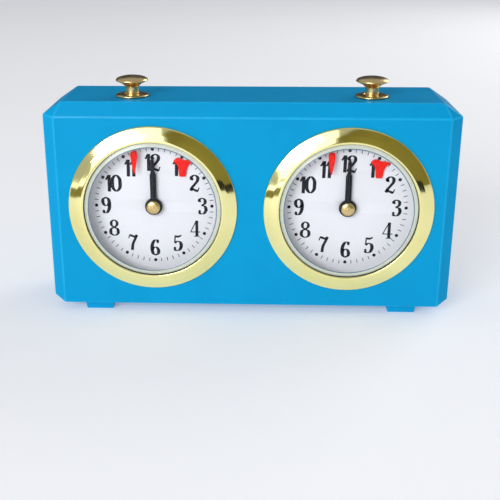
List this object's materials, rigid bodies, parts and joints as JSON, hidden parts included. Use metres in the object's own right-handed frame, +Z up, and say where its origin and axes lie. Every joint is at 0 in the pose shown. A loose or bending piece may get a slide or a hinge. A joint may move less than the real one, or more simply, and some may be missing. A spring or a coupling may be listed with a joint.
{
  "type": "chess clock",
  "caption": "Mechanical chess clock in a chamfered plastic case: twin round dials in gold bezels, mushroom buttons on a rocker, winding keys and setting knobs behind.",
  "frame": {"origin": "centre of the bounding box at the underside of the feet", "axes": "+X to the right as seen from the dials, +Y out of the back where the winding keys are, +Z up"},
  "size_m": [0.19, 0.0581, 0.1112],
  "materials": {
    "case_plastic": "satin moulded blue plastic",
    "gold_bezel": "polished gold plate",
    "lens_glass": "clear with a bevelled rim",
    "dial_white": "matt white enamel with printed black numerals",
    "black_hands": "satin black",
    "red_plastic": "bright red",
    "brass": "lacquered",
    "steel": "plain"
  },
  "bodies": {
    "case": {"case_shell": "case_plastic", "back_cover": "case_plastic", "rocker_bracket": "steel", "foot_front_left": "case_plastic", "foot_front_right": "case_plastic", "foot_rear_left": "case_plastic", "foot_rear_right": "case_plastic", "back_screw_left_low": "steel", "back_screw_left_high": "steel", "back_screw_right_low": "steel", "back_screw_right_high": "steel", "left_bezel": "gold_bezel", "left_lens": "lens_glass", "left_dial": "dial_white", "left_front_plate": "brass", "left_rear_plate": "brass", "left_mainspring": "steel", "left_button_bush": "brass", "right_bezel": "gold_bezel", "right_lens": "lens_glass", "right_dial": "dial_white", "right_front_plate": "brass", "right_rear_plate": "brass", "right_mainspring": "steel", "right_button_bush": "brass"},
    "left_button": {"left_button": "brass"},
    "right_button": {"right_button": "brass"},
    "rocker": {"rocker_bar": "steel"},
    "left_minute": {"left_minute_hand": "black_hands", "left_hand_nut": "brass", "left_centre_wheel": "brass", "left_setting_knob": "brass"},
    "left_hour": {"left_hour_hand": "black_hands", "left_hour_wheel": "brass"},
    "left_motion": {"left_motion_wheel": "brass"},
    "left_third": {"left_third_wheel": "brass"},
    "left_escape": {"left_escape_wheel": "brass"},
    "left_great": {"left_great_wheel": "brass"},
    "left_winding": {"left_winding_arbor": "steel", "left_winding_key": "brass"},
    "left_flag": {"left_flag": "red_plastic"},
    "left_pallets": {"left_pallet_fork": "steel", "left_running_indicator": "red_plastic"},
    "left_balance": {"left_balance_wheel": "brass"},
    "right_minute": {"right_minute_hand": "black_hands", "right_hand_nut": "brass", "right_centre_wheel": "brass", "right_setting_knob": "brass"},
    "right_hour": {"right_hour_hand": "black_hands", "right_hour_wheel": "brass"},
    "right_motion": {"right_motion_wheel": "brass"},
    "right_third": {"right_third_wheel": "brass"},
    "right_escape": {"right_escape_wheel": "brass"},
    "right_great": {"right_great_wheel": "brass"},
    "right_winding": {"right_winding_arbor": "steel", "right_winding_key": "brass"},
    "right_flag": {"right_flag": "red_plastic"},
    "right_pallets": {"right_pallet_fork": "steel", "right_running_indicator": "red_plastic"},
    "right_balance": {"right_balance_wheel": "brass"}
  },
  "joints": [
    {"name": "left_button_press", "type": "slide", "parent": "case", "child": "left_button", "axis": [0, 0, 1], "range_m": [-0.003, 0.003]},
    {"name": "right_button_press", "type": "slide", "parent": "case", "child": "right_button", "axis": [0, 0, 1], "range_m": [-0.003, 0.003]},
    {"name": "rocker_tilt", "type": "hinge", "parent": "case", "child": "rocker", "pos_m": [0, -0.0057, 0.0876], "axis": [0, 1, 0], "range_deg": [-3.2, 3.2]},
    {"name": "left_minute_turn", "type": "hinge", "parent": "case", "child": "left_minute", "pos_m": [-0.0454, -0.02595, 0.0519], "axis": [0, 1, 0], "continuous": true},
    {"name": "left_hour_turn", "type": "hinge", "parent": "case", "child": "left_hour", "pos_m": [-0.0454, -0.02595, 0.0519], "axis": [0, 1, 0], "continuous": true},
    {"name": "left_motion_turn", "type": "hinge", "parent": "case", "child": "left_motion", "pos_m": [-0.0454, -0.02595, 0.0423], "axis": [0, 1, 0], "continuous": true},
    {"name": "left_third_turn", "type": "hinge", "parent": "case", "child": "left_third", "pos_m": [-0.05526, -0.02595, 0.06176], "axis": [0, 1, 0], "continuous": true},
    {"name": "left_escape_turn", "type": "hinge", "parent": "case", "child": "left_escape", "pos_m": [-0.04678, -0.02595, 0.07025], "axis": [0, 1, 0], "continuous": true},
    {"name": "left_great_turn", "type": "hinge", "parent": "case", "child": "left_great", "pos_m": [-0.0454, -0.02595, 0.0339], "axis": [0, 1, 0], "continuous": true},
    {"name": "left_winding_turn", "type": "hinge", "parent": "case", "child": "left_winding", "pos_m": [-0.0454, -0.02595, 0.0339], "axis": [0, 1, 0], "continuous": true},
    {"name": "left_flag_lift", "type": "hinge", "parent": "case", "child": "left_flag", "pos_m": [-0.0537, -0.02595, 0.0775], "axis": [0, -1, 0], "range_deg": [0, 74]},
    {"name": "left_pallet_rock", "type": "hinge", "parent": "case", "child": "left_pallets", "pos_m": [-0.0317, -0.02595, 0.0681], "axis": [0, 1, 0], "range_deg": [-6, 6]},
    {"name": "left_balance_swing", "type": "hinge", "parent": "case", "child": "left_balance", "pos_m": [-0.0239, -0.02595, 0.0554], "axis": [0, 1, 0], "range_deg": [-135, 135]},
    {"name": "right_minute_turn", "type": "hinge", "parent": "case", "child": "right_minute", "pos_m": [0.0454, -0.02595, 0.0519], "axis": [0, 1, 0], "continuous": true},
    {"name": "right_hour_turn", "type": "hinge", "parent": "case", "child": "right_hour", "pos_m": [0.0454, -0.02595, 0.0519], "axis": [0, 1, 0], "continuous": true},
    {"name": "right_motion_turn", "type": "hinge", "parent": "case", "child": "right_motion", "pos_m": [0.0454, -0.02595, 0.0423], "axis": [0, 1, 0], "continuous": true},
    {"name": "right_third_turn", "type": "hinge", "parent": "case", "child": "right_third", "pos_m": [0.03554, -0.02595, 0.06176], "axis": [0, 1, 0], "continuous": true},
    {"name": "right_escape_turn", "type": "hinge", "parent": "case", "child": "right_escape", "pos_m": [0.04402, -0.02595, 0.07025], "axis": [0, 1, 0], "continuous": true},
    {"name": "right_great_turn", "type": "hinge", "parent": "case", "child": "right_great", "pos_m": [0.0454, -0.02595, 0.0339], "axis": [0, 1, 0], "continuous": true},
    {"name": "right_winding_turn", "type": "hinge", "parent": "case", "child": "right_winding", "pos_m": [0.0454, -0.02595, 0.0339], "axis": [0, 1, 0], "continuous": true},
    {"name": "right_flag_lift", "type": "hinge", "parent": "case", "child": "right_flag", "pos_m": [0.0371, -0.02595, 0.0775], "axis": [0, -1, 0], "range_deg": [0, 74]},
    {"name": "right_pallet_rock", "type": "hinge", "parent": "case", "child": "right_pallets", "pos_m": [0.0591, -0.02595, 0.0681], "axis": [0, 1, 0], "range_deg": [-6, 6]},
    {"name": "right_balance_swing", "type": "hinge", "parent": "case", "child": "right_balance", "pos_m": [0.0669, -0.02595, 0.0554], "axis": [0, 1, 0], "range_deg": [-135, 135]}
  ],
  "couplings": [
    {"joint": "right_button_press", "follows": "left_button_press", "ratio": -1},
    {"joint": "rocker_tilt", "follows": "left_button_press", "rad_per_m": 18.083},
    {"joint": "left_hour_turn", "follows": "left_minute_turn", "ratio": 0.083333},
    {"joint": "left_motion_turn", "follows": "left_minute_turn", "ratio": -0.33333},
    {"joint": "left_third_turn", "follows": "left_minute_turn", "ratio": -4},
    {"joint": "left_escape_turn", "follows": "left_minute_turn", "ratio": 16},
    {"joint": "left_great_turn", "follows": "left_minute_turn", "ratio": -0.25},
    {"joint": "right_hour_turn", "follows": "right_minute_turn", "ratio": 0.083333},
    {"joint": "right_motion_turn", "follows": "right_minute_turn", "ratio": -0.33333},
    {"joint": "right_third_turn", "follows": "right_minute_turn", "ratio": -4},
    {"joint": "right_escape_turn", "follows": "right_minute_turn", "ratio": 16},
    {"joint": "right_great_turn", "follows": "right_minute_turn", "ratio": -0.25}
  ]
}
